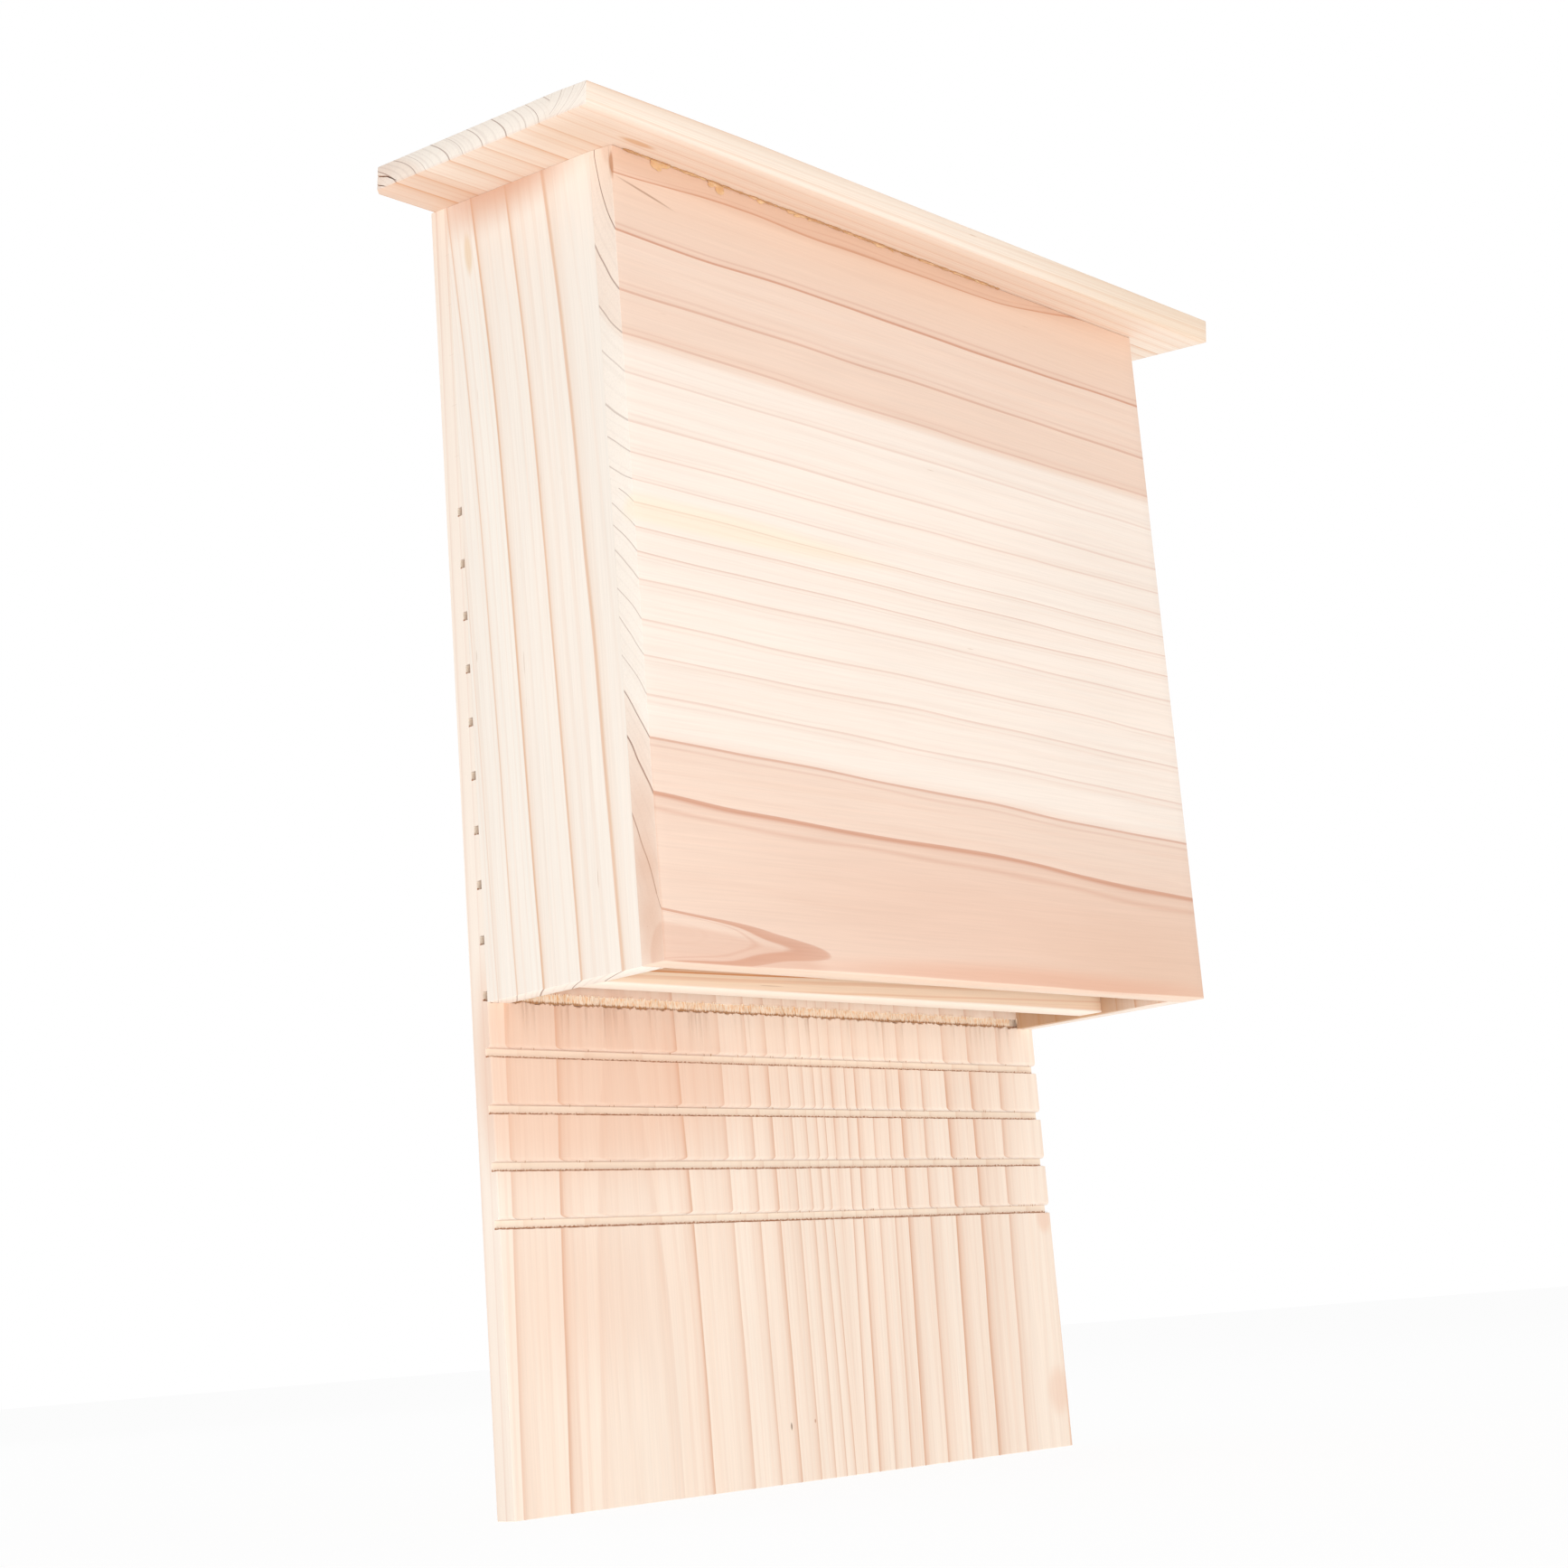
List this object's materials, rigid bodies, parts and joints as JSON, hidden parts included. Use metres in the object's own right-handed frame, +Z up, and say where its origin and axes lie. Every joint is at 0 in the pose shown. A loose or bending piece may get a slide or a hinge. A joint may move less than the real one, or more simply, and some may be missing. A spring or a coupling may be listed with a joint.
{
  "type": "bat box",
  "caption": "Wall-hung wooden bat box with a grooved back board and landing, a partition between roosting chambers, an open bottom and a sloped roof.",
  "frame": {"origin": "midway between the two wall screw holes, on the wall plane at the box's back", "axes": "+Z up, -Y out of the front, away from the wall, +X to the viewer's right when facing the front"},
  "size_m": [0.363, 0.1225, 0.513],
  "materials": {
    "pale_softwood": "unfinished planed pale softwood with fine pinkish grain",
    "dried_glue": "dried amber wood glue",
    "zinc_plated_steel": "bright zinc plate, slightly dulled"
  },
  "bodies": {
    "root": {"back_board": "pale_softwood", "left_side": "pale_softwood", "right_side": "pale_softwood", "front_board": "pale_softwood", "partition": "pale_softwood", "roof_board": "pale_softwood", "glue_bead": "dried_glue", "hanger_plate_left": "zinc_plated_steel", "hanger_plate_right": "zinc_plated_steel", "hanger_screws": "zinc_plated_steel", "back_brads": "zinc_plated_steel", "roof_brads": "zinc_plated_steel", "front_pins": "zinc_plated_steel", "partition_pins": "zinc_plated_steel"}
  },
  "joints": []
}
